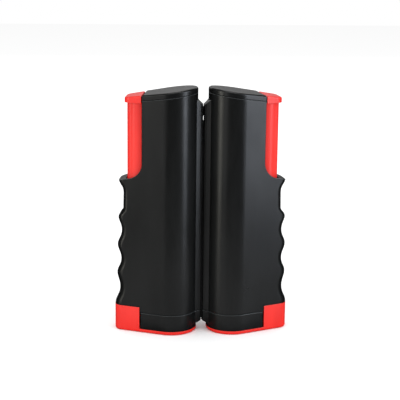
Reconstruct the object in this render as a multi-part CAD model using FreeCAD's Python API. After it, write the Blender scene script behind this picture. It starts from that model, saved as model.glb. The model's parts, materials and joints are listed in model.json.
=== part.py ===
import FreeCAD, Part
import math
import os
from FreeCAD import Vector

# A pair of roll-up table tennis net posts, stored nose to nose.
# Each post is a barrel with a finger grip and a spring clamp.
# The left post holds the net on a spring reel.
# The right post holds the far end of the net.
#
# A post is drawn in its own straight frame: u runs out from the line where
# the noses meet, v runs from front (-v) to rear (+v), and z is up.
# place() turns that frame into the row frame, where the origin lies on the
# floor at the middle of the pair's bounding box.  All sizes are in mm.

# ---- driving dimensions ----
SPREAD_DEG = 8.0        # each post is turned back by this much
BARREL_U = 24.8         # barrel axis, out from the contact line
BARREL_R = 20.5
FLANK_TILT_DEG = 15.57  # how much the flanks close towards the grip
WALL = 2.0
FOOT_END_U = 70.4       # outer end of the foot
FOOT_CORNER_R = 8.0     # rounding of the outer end, seen from above
WAIST_CORNER_R = 5.0
TOP_Z = 200.0           # top plane at TOP_START_U
TOP_START_U = 4.3
TOP_SLOPE_DEG = 8.0
CAP_BAND = 4.5          # height of the cap's side band
SEAM_GAP = 0.4

PLATE_T = 2.8           # jaw plate under the base
BASE_Z = 3.1            # underside of the base block
BASE_TOP_Z = 16.5
BASE_END_U = 48.2
BASE_RIM = 0.35         # chamfer of the base block's upper rim
BASE_FLOOR_Z = 6.5
BASE_SKIRT_Z = 10.0     # skirt that centres the block in the barrel
BASE_SKIRT_UP = 3.0
BASE_SKIRT_T = 1.1
SKIRT_SLOT = 9.0        # the skirt is open towards the nose
BASE_HUB_Z = 7.8
BASE_HUB_R = 4.0
FOOT_START_U = 49.4
FOOT_TOP_Z = 21.0
SHELL_FOOT_Z = 21.3
STEP_U = 48.8           # where the shell's lower edge steps up

WALL_IN_U = 45.2        # wall between barrel and grip
WALL_OUT_U = 47.2
CUT_R = 14.0            # rounded lower end of the cut-out for the push bar
CUT_Z = 140.5
LIP_TIP = (67.0, 124.9)
CAP_EDGE_R = 1.6
CAP_SKIRT_T = 1.2
CAP_SKIRT_DEEP = 4.0
SKIRT_GAP = 0.1

NOSE_TIP_U = 0.42
NOSE_TIP_V = 3.0
NOSE_ROOT_U = 6.0
NOSE_ROOT_V = 5.8
NOSE_LIP_R = 1.4
NOSE_SIDE = [(0.0, 7.9), (5.8, 5.4), (12.0, 5.4), (12.0, 190.6), (5.8, 190.6), (0.0, 185.7)]
SLOT_HALF = 1.5         # net slot in the left nose
SLOT_LOW_Z = 7.6
SLOT_HIGH_Z = 158.0
SOCKET_U = 3.2          # end rod axis in the right nose
ROD_R = 1.6
ROD_END_GAP = 0.3
ROD_EDGE_R = 0.4
WEB_START_X = -7.4      # the net leaves the roll here, in the left nose
NET_T = 0.4
TAPE_T = 0.7
ROD_CLEAR = 0.08
SOCKET_NECK = 0.75
SOCKET_MOUTH = 1.3
SOCKET_NECK_DEEP = 1.2

# outer edge of the grip: (z, u) of each crest and valley, from the foot up
GRIP_EDGE = [
    (SHELL_FOOT_Z, 70.3), (36.0, 66.2), (48.0, 68.5), (60.0, 65.1), (71.5, 68.0),
    (84.0, 64.5), (95.0, 67.2), (102.5, 63.1), (115.5, 62.9), (125.5, 66.8), (146.0, 66.8),
]
GRIP_STEP = 3.0
GRIP_CREST_POWER = 1.25  # over 1 makes crests narrower than valleys

BAR_START_U = 50.0
BAR_END_U = 60.0
BAR_CORNER_R = 4.6
BAR_GAP = 0.6           # bar to the inside of the shells
BAR_CROWN = 0.9         # rise of the bar's front and rear faces
BAR_WIDE_U = 47.8       # over BAR_WIDE_Z the bar is wider, to fill the cut-out
BAR_WIDE_Z = 72.0
BAR_SOCKET_GAP = 0.1
BAR_SHOULDER_Z = 118.0
CHANNEL_HALF = 5.8
CHANNEL_WEB = 2.0
PLUG_Z = 3.2
SOCKET_FLOOR_Z = 3.1
FLANGE_START_U = 48.0
FLANGE_END_U = 61.8
FLANGE_UNDER_Z = 187.6
FLANGE_CORNER_R = 5.5
FLANGE_INSET = 0.5
FLANGE_DROP = 0.2       # flange top under the cap's top plane
FLANGE_EDGE_R = 1.2
FOOT_EDGE_R = 1.6
FOOT_POCKET_U = (62.6, 68.0)    # weight-saving pocket in the foot block
FOOT_POCKET_V = 5.0
FOOT_POCKET_Z = 3.4
SHELF_Z = 28.0
SHELF_T = 4.0
SHELF_HALF = 5.2
SHELF_START_U = 52.9
SHELF_END_U = 63.0
GRIP_CAVITY_U = 61.0

CLAMP_SPRING_U = 56.8
CLAMP_SPRING_R = 3.4
CLAMP_SPRING_WIRE = 0.6
CLAMP_SPRING_TURNS = 20
SPRING_END_GAP = 0.1

SPINDLE_R = 2.0
TUBE_R = 8.0
TUBE_IN_R = 6.8
ROLL_R = 16.6
ROLL_FIT = 0.02
FLANGE_R = 17.0
REEL_CLEAR = 0.06
REEL_FLANGE_Z = 8.2
REEL_FLANGE_T = 1.2
NET_LOW_Z = 9.6
NET_HIGH_Z = 155.5
TAPE_H = 12.5
TUBE_HIGH_Z = 156.2
PLUG_DEEP = 10.0
BEARING_Z = 160.0
BEARING_T = 2.5
BEARING_HUB_R = 4.5
BEARING_FIT = 0.2       # plate to the barrel's inside
BEARING_BORE_R = 2.03
LEDGE_T = 1.6           # ledge under the bearing plate
LEDGE_GAP = 0.05
LEDGE_R = 17.4
SPINDLE_LOW_Z = 5.2
SPINDLE_TOP_Z = 166.0
SPINDLE_EDGE_R = 0.5
SPRING_COIL_R = 5.0
SPRING_WIRE_R = 0.5
SPRING_Z = (22.0, 98.0)
SPRING_PITCH = 2.6

PAD_INSET = 4.0
PAD_U = (8.5, 45.0)
PAD_FIT = 0.05
UPPER_PAD_Z = (3.05, 5.0)
LOWER_PAD_Z = (1.5, 2.95)

SHELL_SCREW_U = 43.8
SHELL_SCREW_Z = (28.0, 75.0, 122.0, 169.0)
SHELL_SCREW_START_V = 13.3
SHELL_SCREW_LENGTH = 20.8
SHELL_SCREW_HEAD = (2.4, 1.9)   # radius and thickness
SHELL_BOSS_R = 2.0
SHELL_SEAT_R = 3.9
SHELL_SEAT_V = 9.5      # floor of the screw's seat in the rear shell
SHELL_HOLE_END_V = -9.8
SHELL_CLEAR_R = 1.35
SHELL_HEAD_HOLE_R = 2.6
SHELL_HEAD_HOLE_V = 11.4
BASE_SCREW_U = 42.0
BASE_SCREW_V = 12.4
BASE_SCREW_Z = 5.2
BASE_SCREW_LENGTH = 15.5
BASE_SCREW_HEAD = (2.3, 1.7)
BASE_HEAD_HOLE_R = 2.5
BASE_HEAD_HOLE_Z = 7.0
BASE_BOSS_R = 2.3
BASE_BOSS_Z = 26.0
BASE_HOLE_Z = 23.0
FOOT_SCREW_U = 55.0
FOOT_SCREW_V = 4.6
FOOT_SCREW_Z = 0.35
FOOT_SCREW_LENGTH = 13.5
FOOT_SCREW_HEAD = (2.2, 1.5)
FOOT_HEAD_HOLE_R = 2.4
FOOT_HEAD_HOLE_Z = 1.9
FOOT_HOLE_Z = 16.0
SCREW_R = 1.2
SCREW_CLEAR_R = 1.5
THREAD_GAP = 0.02       # a screw stands this clear of its hole
RECESS = (2.4, 0.6, 0.8)        # cross recess: length, width and depth
HEAD_EDGE_R = 0.35

FAR = 300.0             # larger than the part, for cutting tools
PART_GAP = 0.05         # each shell stops this far from the middle plane

TILT = math.radians(FLANK_TILT_DEG)
FLANK_N = (math.sin(TILT), math.cos(TILT))
FLANK_OFFSET = FLANK_N[0] * BARREL_U + BARREL_R
SLOPE = math.tan(math.radians(TOP_SLOPE_DEG))
SPREAD = math.radians(SPREAD_DEG)


# ---- small tools ----
def box(u0, u1, v0, v1, z0, z1):
    return Part.makeBox(u1 - u0, v1 - v0, z1 - z0, Vector(u0, v0, z0))


def rod(u, v, z0, z1, r):
    return Part.makeCylinder(r, z1 - z0, Vector(u, v, z0), Vector(0, 0, 1))


def cross_rod(u, z, v0, v1, r):
    return Part.makeCylinder(r, v1 - v0, Vector(u, v0, z), Vector(0, 1, 0))


def side_prism(points, half=40.0):
    """Extrude a closed (u, z) outline from -half to +half in v."""
    loop = [Vector(u, -half, z) for u, z in points]
    face = Part.Face(Part.makePolygon(loop + loop[:1]))
    return face.extrude(Vector(0, 2 * half, 0))


def plan_prism(wire, z0, z1):
    """Extrude a flat closed wire, drawn at z = 0, from z0 to z1."""
    low = wire.copy()
    low.translate(Vector(0, 0, z0))
    return Part.Face(low).extrude(Vector(0, 0, z1 - z0))


def top_at(u, drop=0.0):
    return TOP_Z - drop - (u - TOP_START_U) * SLOPE


def above(drop):
    """Everything over the sloping plane that lies drop below the top."""
    return side_prism([(-20, top_at(-20, drop)), (90, top_at(90, drop)), (90, FAR), (-20, FAR)])


def below(drop):
    return side_prism([(-20, top_at(-20, drop)), (90, top_at(90, drop)), (90, -FAR), (-20, -FAR)])


def one_solid(shape):
    return shape.removeSplitter()


# ---- the outline seen from above ----
def flank_v(u, inset=0.0):
    """Half width of the flank at u."""
    return (FLANK_OFFSET - inset - FLANK_N[0] * u) / FLANK_N[1]


def plan_wire(end_u, corner_r, inset=0.0, z=0.0):
    """Barrel arc, two flanks, and an outer end with two rounded corners."""
    r = BARREL_R - inset
    c_u = end_u - corner_r
    c_v = flank_v(c_u, corner_r)
    c_r = corner_r - inset
    half = (math.pi / 2 - TILT) / 2
    barrel_t = (BARREL_U + r * FLANK_N[0], r * FLANK_N[1])
    flank_t = (c_u + c_r * FLANK_N[0], c_v + c_r * FLANK_N[1])
    mid = (c_u + c_r * math.cos(half), c_v + c_r * math.sin(half))
    end = (c_u + c_r, c_v)

    def p(point, side):
        return Vector(point[0], side * point[1], z)

    nose = Vector(BARREL_U - r, 0, z)
    edges = [
        Part.Arc(p(barrel_t, -1), nose, p(barrel_t, 1)).toShape(),
        Part.LineSegment(p(barrel_t, 1), p(flank_t, 1)).toShape(),
        Part.Arc(p(flank_t, 1), p(mid, 1), p(end, 1)).toShape(),
        Part.LineSegment(p(end, 1), p(end, -1)).toShape(),
        Part.Arc(p(end, -1), p(mid, -1), p(flank_t, -1)).toShape(),
        Part.LineSegment(p(flank_t, -1), p(barrel_t, -1)).toShape(),
    ]
    return Part.Wire(edges)


def foot_outline(inset=0.0):
    return plan_wire(FOOT_END_U, FOOT_CORNER_R, inset)


def nose_outline():
    """Tip with two rounded lips, widening to the barrel."""
    u0, v0, r = NOSE_TIP_U, NOSE_TIP_V, NOSE_LIP_R
    k = r * (1 - math.sqrt(0.5))
    edges = [
        Part.LineSegment(Vector(u0, v0 - r, 0), Vector(u0, r - v0, 0)).toShape(),
        Part.Arc(Vector(u0, r - v0, 0), Vector(u0 + k, k - v0, 0), Vector(u0 + r, -v0, 0)).toShape(),
        Part.LineSegment(Vector(u0 + r, -v0, 0), Vector(NOSE_ROOT_U, -NOSE_ROOT_V, 0)).toShape(),
        Part.LineSegment(Vector(NOSE_ROOT_U, -NOSE_ROOT_V, 0), Vector(NOSE_ROOT_U, NOSE_ROOT_V, 0)).toShape(),
        Part.LineSegment(Vector(NOSE_ROOT_U, NOSE_ROOT_V, 0), Vector(u0 + r, v0, 0)).toShape(),
        Part.Arc(Vector(u0 + r, v0, 0), Vector(u0 + k, v0 - k, 0), Vector(u0, v0 - r, 0)).toShape(),
    ]
    return Part.Wire(edges)


def nose_block():
    prism = plan_prism(nose_outline(), 0.0, TOP_Z)
    return prism.common(side_prism(NOSE_SIDE))


# ---- casing ----
def grip_edge_u(z):
    """Outer edge of the grip at height z, eased between crests and valleys."""
    for (z0, u0), (z1, u1) in zip(GRIP_EDGE, GRIP_EDGE[1:]):
        if z <= z1:
            t = max(0.0, (z - z0) / (z1 - z0))
            ease = 0.5 - 0.5 * math.cos(math.pi * t)
            if u1 > u0:
                return u0 + (u1 - u0) * ease ** GRIP_CREST_POWER
            return u1 + (u0 - u1) * (1 - ease) ** GRIP_CREST_POWER
    return GRIP_EDGE[-1][1]


def grip_corner_r(z):
    """The end is rounder at the foot than at the waist."""
    t = min(1.0, max(0.0, (z - SHELL_FOOT_Z) / (GRIP_EDGE[7][0] - SHELL_FOOT_Z)))
    return FOOT_CORNER_R + (WAIST_CORNER_R - FOOT_CORNER_R) * t


def grip_loft():
    """The casing's outer form up to just over the lip."""
    z_top = GRIP_EDGE[-1][0]
    count = int((z_top - SHELL_FOOT_Z) / GRIP_STEP)
    heights = [BASE_TOP_Z + SEAM_GAP]
    for i in range(count + 1):
        heights.append(SHELL_FOOT_Z + (z_top - SHELL_FOOT_Z) * i / count)
    wires = [plan_wire(grip_edge_u(z), grip_corner_r(z), 0.0, z) for z in heights]
    return Part.makeLoft(wires, True, False)


def cut_out():
    """The open corner where the push bar stands, with a rounded lower end."""
    c_u = WALL_OUT_U + CUT_R
    k = CUT_R * math.sqrt(0.5)
    start = Vector(WALL_OUT_U, -40, CUT_Z)
    mid = Vector(c_u - k, -40, CUT_Z - k)
    end = Vector(c_u, -40, CUT_Z - CUT_R)
    tip = Vector(LIP_TIP[0], -40, LIP_TIP[1])
    corners = [tip, Vector(90, -40, LIP_TIP[1]), Vector(90, -40, FAR), Vector(WALL_OUT_U, -40, FAR), start]
    edges = [Part.Arc(start, mid, end).toShape(), Part.LineSegment(end, tip).toShape()]
    for a, b in zip(corners, corners[1:]):
        edges.append(Part.LineSegment(a, b).toShape())
    return Part.Face(Part.Wire(edges)).extrude(Vector(0, 80, 0))


def nose_slot(side):
    """Left: the net's slot.  Right: a round socket with a flared mouth for the end rod."""
    z0, z1 = SLOT_LOW_Z, SLOT_HIGH_Z
    if side == "left":
        return box(-1.0, 9.0, -SLOT_HALF, SLOT_HALF, z0, z1)
    mouth = [
        Vector(-NOSE_TIP_U, -SOCKET_MOUTH, z0), Vector(NOSE_TIP_U, -SOCKET_MOUTH, z0),
        Vector(SOCKET_U - SOCKET_NECK_DEEP, -SOCKET_NECK, z0), Vector(SOCKET_U, -SOCKET_NECK, z0),
        Vector(SOCKET_U, SOCKET_NECK, z0), Vector(SOCKET_U - SOCKET_NECK_DEEP, SOCKET_NECK, z0),
        Vector(NOSE_TIP_U, SOCKET_MOUTH, z0), Vector(-NOSE_TIP_U, SOCKET_MOUTH, z0),
    ]
    face = Part.Face(Part.makePolygon(mouth + mouth[:1]))
    bore = rod(SOCKET_U, 0, z0, z1, ROD_R + ROD_CLEAR)
    return bore.fuse(face.extrude(Vector(0, 0, z1 - z0)))


def casing_solid():
    """Outer form of both shells together, between the base seam and the cap seam."""
    low = grip_loft()
    z_join = GRIP_EDGE[-1][0]
    high = plan_prism(plan_wire(grip_edge_u(z_join), grip_corner_r(z_join)), z_join, TOP_Z + 5)
    body = low.fuse(high)
    body = body.cut(cut_out())
    body = body.cut(above(CAP_BAND + SEAM_GAP / 2))
    body = body.cut(box(STEP_U, 90, -40, 40, 0, SHELL_FOOT_Z))
    nose = nose_block().cut(box(-5, 20, -20, 20, 0, BASE_TOP_Z + SEAM_GAP))
    return body.fuse(nose)


def casing_cavity():
    """Barrel bore, the flank space beside it, and the guide space in the grip."""
    inner = foot_outline(WALL)
    barrel = plan_prism(inner, 0, FAR).common(box(0, WALL_IN_U, -40, 40, 0, FAR))
    grip = plan_prism(inner, 0, FAR).common(box(WALL_OUT_U, GRIP_CAVITY_U, -40, 40, 0, FAR))
    return barrel.fuse(grip)


def casing_ribs(outer):
    """Screw bosses, the spring shelf and the ledge under the bearing plate."""
    parts = []
    for z in SHELL_SCREW_Z:
        parts.append(cross_rod(SHELL_SCREW_U, z, -30, 30, SHELL_BOSS_R))
        seat = cross_rod(SHELL_SCREW_U, z, SHELL_SEAT_V, 30, SHELL_SEAT_R)
        parts.append(seat.common(box(0, WALL_OUT_U, -40, 40, 0, FAR)))
    for v in (-BASE_SCREW_V, BASE_SCREW_V):
        parts.append(rod(BASE_SCREW_U, v, BASE_TOP_Z + SEAM_GAP, BASE_BOSS_Z, BASE_BOSS_R))
    parts.append(box(SHELF_START_U, SHELF_END_U, -SHELF_HALF, SHELF_HALF, SHELF_Z, SHELF_Z + SHELF_T))
    ledge = rod(BARREL_U, 0, BEARING_Z - LEDGE_T, BEARING_Z - LEDGE_GAP, BARREL_R - WALL / 4)
    parts.append(ledge.cut(rod(BARREL_U, 0, 0, FAR, LEDGE_R)))
    ribs = parts[0]
    for part in parts[1:]:
        ribs = ribs.fuse(part)
    return ribs.common(outer)


def casing(side):
    outer = casing_solid()
    hollow = outer.cut(casing_cavity())
    body = hollow.fuse(casing_ribs(outer))
    body = body.cut(nose_slot(side))
    for z in SHELL_SCREW_Z:
        body = body.cut(cross_rod(SHELL_SCREW_U, z, SHELL_HOLE_END_V, 0, SCREW_R + THREAD_GAP))
        body = body.cut(cross_rod(SHELL_SCREW_U, z, 0, 20, SHELL_CLEAR_R))
        body = body.cut(cross_rod(SHELL_SCREW_U, z, SHELL_HEAD_HOLE_V, 20, SHELL_HEAD_HOLE_R))
    for v in (-BASE_SCREW_V, BASE_SCREW_V):
        body = body.cut(rod(BASE_SCREW_U, v, 0, BASE_HOLE_Z, SCREW_R + THREAD_GAP))
    return body


def front_shell(side):
    half = casing(side).cut(box(-10, 90, -PART_GAP, 40, 0, FAR))
    return one_solid(half)


def rear_shell(side):
    half = casing(side).cut(box(-10, 90, -40, PART_GAP, 0, FAR))
    return one_solid(half)


def top_cap(side):
    """Sloping lid with a rounded rim and a skirt inside the barrel."""
    lid = plan_prism(foot_outline(), 180, TOP_Z + 5)
    lid = lid.cut(above(0.0)).cut(below(CAP_BAND - SEAM_GAP / 2))
    lid = lid.cut(box(WALL_OUT_U, 90, -40, 40, 0, FAR))
    rim = [e for e in lid.Edges if on_top_plane(e)]
    lid = lid.makeFillet(CAP_EDGE_R, rim)
    skirt_r = BARREL_R - WALL - SKIRT_GAP
    skirt = rod(BARREL_U, 0, 180, TOP_Z, skirt_r)
    skirt = skirt.cut(rod(BARREL_U, 0, 170, FAR, skirt_r - CAP_SKIRT_T))
    skirt = skirt.cut(above(CAP_BAND - SEAM_GAP)).cut(below(CAP_BAND + CAP_SKIRT_DEEP))
    return one_solid(lid.fuse(skirt))


def on_top_plane(edge, drop=0.0):
    for vertex in edge.Vertexes:
        if abs(vertex.Z - top_at(vertex.X, drop)) > 0.01:
            return False
    return True


def base_block(side):
    """Bottom cap of the casing; its underside is the fixed jaw."""
    block = plan_prism(foot_outline(), BASE_Z, BASE_TOP_Z)
    block = block.common(box(0, BASE_END_U, -40, 40, 0, 50))
    nose = nose_block().common(box(-5, 20, -20, 20, 0, BASE_TOP_Z))
    block = block.fuse(nose)
    block = one_solid(block)
    rim = [e for e in block.Edges if all(abs(v.Z - BASE_TOP_Z) < 0.01 for v in e.Vertexes)]
    block = block.makeChamfer(BASE_RIM, rim)
    block = block.cut(rod(BARREL_U, 0, BASE_FLOOR_Z, 40, BARREL_R - WALL))
    bore_r = BARREL_R - WALL
    skirt = rod(BARREL_U, 0, BASE_SKIRT_Z, BASE_TOP_Z, bore_r)
    skirt = skirt.fuse(rod(BARREL_U, 0, BASE_SKIRT_Z, BASE_TOP_Z + BASE_SKIRT_UP, bore_r - SKIRT_GAP))
    skirt = skirt.cut(rod(BARREL_U, 0, 0, 50, bore_r - BASE_SKIRT_T))
    skirt = skirt.cut(box(0, SKIRT_SLOT, -SKIRT_SLOT, SKIRT_SLOT, 0, 50))
    hub = rod(BARREL_U, 0, BASE_FLOOR_Z - 0.5, BASE_HUB_Z, BASE_HUB_R)
    block = block.fuse(skirt).fuse(hub)
    block = block.cut(pad(UPPER_PAD_Z, 0.0))
    block = block.cut(nose_slot(side))
    block = block.cut(rod(BARREL_U, 0, 0, 20, SPINDLE_R))
    for v in (-BASE_SCREW_V, BASE_SCREW_V):
        block = block.cut(rod(BASE_SCREW_U, v, 0, 30, SCREW_CLEAR_R))
        block = block.cut(rod(BASE_SCREW_U, v, 0, BASE_HEAD_HOLE_Z, BASE_HEAD_HOLE_R))
    return one_solid(block)


def pad(heights, fit):
    """Rubber jaw pad, inset from the outline."""
    shape = plan_prism(foot_outline(PAD_INSET + fit), heights[0], heights[1])
    return shape.common(box(PAD_U[0] + fit, PAD_U[1] - fit, -40, 40, 0, 50))


def upper_pad(side):
    return pad(UPPER_PAD_Z, PAD_FIT)


def lower_pad(side):
    return pad(LOWER_PAD_Z, PAD_FIT)


# ---- sliding clamp ----
def bar_outline(inset, start_u, end_u, corner_r, crown=0.0):
    """Tapered bar section that follows the flanks, its faces raised by crown in the middle."""
    c_u = end_u - corner_r
    c_v = flank_v(c_u, inset + corner_r)
    half = (math.pi / 2 - TILT) / 2
    start_v = flank_v(start_u, inset)
    flank_t = (c_u + corner_r * FLANK_N[0], c_v + corner_r * FLANK_N[1])
    mid = (c_u + corner_r * math.cos(half), c_v + corner_r * math.sin(half))
    swell = (
        (start_u + flank_t[0]) / 2 + crown * FLANK_N[0],
        (start_v + flank_t[1]) / 2 + crown * FLANK_N[1])

    def p(point, side):
        return Vector(point[0], side * point[1], 0)

    def face(side):
        start, end = p((start_u, start_v), side), p(flank_t, side)
        if crown:
            return Part.Arc(start, p(swell, side), end).toShape()
        return Part.LineSegment(start, end).toShape()

    edges = [
        Part.LineSegment(p((start_u, start_v), -1), p((start_u, start_v), 1)).toShape(),
        face(1),
        Part.Arc(p(flank_t, 1), p(mid, 1), p((end_u, c_v), 1)).toShape(),
        Part.LineSegment(p((end_u, c_v), 1), p((end_u, c_v), -1)).toShape(),
        Part.Arc(p((end_u, c_v), -1), p(mid, -1), p(flank_t, -1)).toShape(),
        face(-1),
    ]
    return Part.Wire(edges)


def push_bar(side):
    """Thumb flange, bar, spring channel and the plug that enters the foot."""
    inset = WALL + BAR_GAP + BAR_CROWN
    bar = plan_prism(bar_outline(inset, BAR_START_U, BAR_END_U, BAR_CORNER_R, BAR_CROWN), PLUG_Z, BAR_WIDE_Z)
    wide = bar_outline(inset, BAR_WIDE_U, BAR_END_U, BAR_CORNER_R, BAR_CROWN)
    bar = bar.fuse(plan_prism(wide, BAR_WIDE_Z, FLANGE_UNDER_Z))
    channel = box(BAR_START_U + CHANNEL_WEB, 70, -CHANNEL_HALF, CHANNEL_HALF, FOOT_TOP_Z, BAR_SHOULDER_Z)
    bar = bar.cut(channel)
    outline = bar_outline(FLANGE_INSET, FLANGE_START_U, FLANGE_END_U, FLANGE_CORNER_R)
    flange = plan_prism(outline, FLANGE_UNDER_Z, TOP_Z)
    flange = flange.cut(above(FLANGE_DROP))
    rim = [e for e in flange.Edges if on_top_plane(e, FLANGE_DROP)]
    flange = flange.makeFillet(FLANGE_EDGE_R, rim)
    bar = bar.fuse(flange)
    for v in (-FOOT_SCREW_V, FOOT_SCREW_V):
        bar = bar.cut(rod(FOOT_SCREW_U, v, 0, FOOT_HOLE_Z, SCREW_R + THREAD_GAP))
    return one_solid(bar)


def clamp_foot(side):
    """Jaw plate under the whole post with a block under the grip."""
    foot = plan_prism(foot_outline(), 0, FOOT_TOP_Z)
    low_rim = [e for e in foot.Edges if all(abs(v.Z) < 0.01 for v in e.Vertexes)]
    foot = foot.makeFillet(FOOT_EDGE_R, low_rim)
    foot = foot.cut(box(0, FOOT_START_U, -40, 40, PLATE_T, 60))
    foot = foot.cut(pad(LOWER_PAD_Z, 0.0))
    gap = BAR_SOCKET_GAP
    outline = bar_outline(
        WALL + BAR_GAP + BAR_CROWN - gap, BAR_START_U - gap, BAR_END_U + gap, BAR_CORNER_R, BAR_CROWN)
    foot = foot.cut(plan_prism(outline, SOCKET_FLOOR_Z, 60))
    foot = foot.cut(box(FOOT_POCKET_U[0], FOOT_POCKET_U[1], -FOOT_POCKET_V, FOOT_POCKET_V, FOOT_POCKET_Z, 60))
    for v in (-FOOT_SCREW_V, FOOT_SCREW_V):
        foot = foot.cut(rod(FOOT_SCREW_U, v, -1, 10, SCREW_CLEAR_R))
        foot = foot.cut(rod(FOOT_SCREW_U, v, -1, FOOT_HEAD_HOLE_Z, FOOT_HEAD_HOLE_R))
    return one_solid(foot)


def coil(u, v, z0, z1, r, wire_r, pitch):
    helix = Part.makeHelix(pitch, z1 - z0, r)
    helix.translate(Vector(u, v, z0))
    start = helix.Edges[0].valueAt(helix.Edges[0].FirstParameter)
    circle = Part.Wire(Part.makeCircle(wire_r, start, Vector(0, 1, 0)))
    return Part.Wire(helix.Edges).makePipeShell([circle], True, True)


def clamp_spring(side):
    low = SHELF_Z + SHELF_T + CLAMP_SPRING_WIRE + SPRING_END_GAP
    high = BAR_SHOULDER_Z - CLAMP_SPRING_WIRE - SPRING_END_GAP
    pitch = (high - low) / CLAMP_SPRING_TURNS
    return coil(CLAMP_SPRING_U, 0, low, high, CLAMP_SPRING_R, CLAMP_SPRING_WIRE, pitch)


# ---- screws ----
def pan_screw(length, head_size):
    """Self-tapping screw along +z, head at the bottom, with a cross recess."""
    head_r, head_t = head_size
    head = Part.makeCylinder(head_r, head_t)
    head = head.makeFillet(HEAD_EDGE_R, [e for e in head.Edges if abs(e.BoundBox.ZMax) < 0.01])
    shank = Part.makeCylinder(SCREW_R, length, Vector(0, 0, head_t))
    screw = head.fuse(shank)
    long, wide, deep = RECESS
    for turn in (0, 90):
        slot = Part.makeBox(long, wide, 2 * deep, Vector(-long / 2, -wide / 2, -deep))
        slot.rotate(Vector(0, 0, 0), Vector(0, 0, 1), turn)
        screw = screw.cut(slot)
    return one_solid(screw)


def shell_screws(side):
    screws = []
    for z in SHELL_SCREW_Z:
        screw = pan_screw(SHELL_SCREW_LENGTH, SHELL_SCREW_HEAD)
        screw.rotate(Vector(0, 0, 0), Vector(1, 0, 0), 90)
        screw.translate(Vector(SHELL_SCREW_U, SHELL_SCREW_START_V, z))
        screws.append(screw)
    return Part.makeCompound(screws)


def base_screws(side):
    screws = []
    for v in (-BASE_SCREW_V, BASE_SCREW_V):
        screw = pan_screw(BASE_SCREW_LENGTH, BASE_SCREW_HEAD)
        screw.translate(Vector(BASE_SCREW_U, v, BASE_SCREW_Z))
        screws.append(screw)
    return Part.makeCompound(screws)


def foot_screws(side):
    screws = []
    for v in (-FOOT_SCREW_V, FOOT_SCREW_V):
        screw = pan_screw(FOOT_SCREW_LENGTH, FOOT_SCREW_HEAD)
        screw.translate(Vector(FOOT_SCREW_U, v, FOOT_SCREW_Z))
        screws.append(screw)
    return Part.makeCompound(screws)


# ---- net reel, in the left post ----
def reel_spindle(side):
    shaft = rod(BARREL_U, 0, SPINDLE_LOW_Z, SPINDLE_TOP_Z, SPINDLE_R)
    return shaft.makeFillet(SPINDLE_EDGE_R, [shaft.Edges[0]])


def reel_bearing_plate(side):
    plate = rod(BARREL_U, 0, BEARING_Z, BEARING_Z + BEARING_T, BARREL_R - WALL - BEARING_FIT)
    plate = plate.fuse(rod(BARREL_U, 0, BEARING_Z, SPINDLE_TOP_Z - 1.0, BEARING_HUB_R))
    return one_solid(plate.cut(rod(BARREL_U, 0, 100, FAR, BEARING_BORE_R)))


def reel_tube(side):
    outer = rod(BARREL_U, 0, REEL_FLANGE_Z + REEL_FLANGE_T, TUBE_HIGH_Z, TUBE_R)
    return outer.cut(rod(BARREL_U, 0, 0, FAR, TUBE_IN_R))


def reel_plug(flange_z, hub_z0, hub_z1):
    plug = rod(BARREL_U, 0, flange_z, flange_z + REEL_FLANGE_T, FLANGE_R)
    plug = plug.fuse(rod(BARREL_U, 0, hub_z0, hub_z1, TUBE_IN_R))
    return one_solid(plug.cut(rod(BARREL_U, 0, 0, FAR, SPINDLE_R + REEL_CLEAR)))


def reel_bottom_plug(side):
    seat = REEL_FLANGE_Z + REEL_FLANGE_T
    return reel_plug(REEL_FLANGE_Z, seat, seat + PLUG_DEEP)


def reel_top_plug(side):
    return reel_plug(TUBE_HIGH_Z, TUBE_HIGH_Z - PLUG_DEEP, TUBE_HIGH_Z)


def torsion_spring(side):
    return coil(BARREL_U, 0, SPRING_Z[0], SPRING_Z[1], SPRING_COIL_R, SPRING_WIRE_R, SPRING_PITCH)


def wound(z0, z1):
    roll = rod(BARREL_U, 0, z0, z1, ROLL_R)
    return roll.cut(rod(BARREL_U, 0, 0, FAR, TUBE_R + ROLL_FIT))


def net_roll(side):
    return wound(NET_LOW_Z, NET_HIGH_Z - TAPE_H)


def tape_roll(side):
    return wound(NET_HIGH_Z - TAPE_H, NET_HIGH_Z)


# ---- net between the posts, drawn in the row frame ----
def rod_place():
    x = SOCKET_U * math.cos(SPREAD)
    y = (SOCKET_U - BARREL_U) * math.sin(SPREAD)
    return x, y


def net_end_rod():
    x, y = rod_place()
    shaft = rod(x, y, SLOT_LOW_Z + ROD_END_GAP, SLOT_HIGH_Z - ROD_END_GAP, ROD_R)
    return shaft.makeFillet(ROD_EDGE_R, [shaft.Edges[0], shaft.Edges[2]])


def web_strip(z0, z1, thick):
    x, y = rod_place()
    return box(WEB_START_X, x - ROD_R - 0.01, y - thick / 2, y + thick / 2, z0, z1)


def net_web():
    return web_strip(NET_LOW_Z, NET_HIGH_Z - TAPE_H, NET_T)


def tape_web():
    return web_strip(NET_HIGH_Z - TAPE_H, NET_HIGH_Z, TAPE_T)


# ---- placing and writing ----
def place(shape, side):
    """Turn a post's own frame into the row frame."""
    placed = shape.copy()
    placed.rotate(Vector(0, 0, 0), Vector(0, 0, 1), SPREAD_DEG)
    placed.translate(Vector(0, -BARREL_U * math.sin(SPREAD), 0))
    if side == "left":
        placed = placed.mirror(Vector(0, 0, 0), Vector(1, 0, 0))
    return placed


def write(name, shape):
    solids = shape.Solids
    if not solids:
        raise ValueError(name + " has no solid")
    for solid in solids:
        if not solid.isValid() or not solid.isClosed():
            raise ValueError(name + " is not a closed valid solid")
    shape.exportStep(os.path.join("parts", name + ".step"))
    print(name, len(solids), "solid(s)", round(sum(s.Volume for s in solids) / 1000, 2), "cm3")


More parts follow.
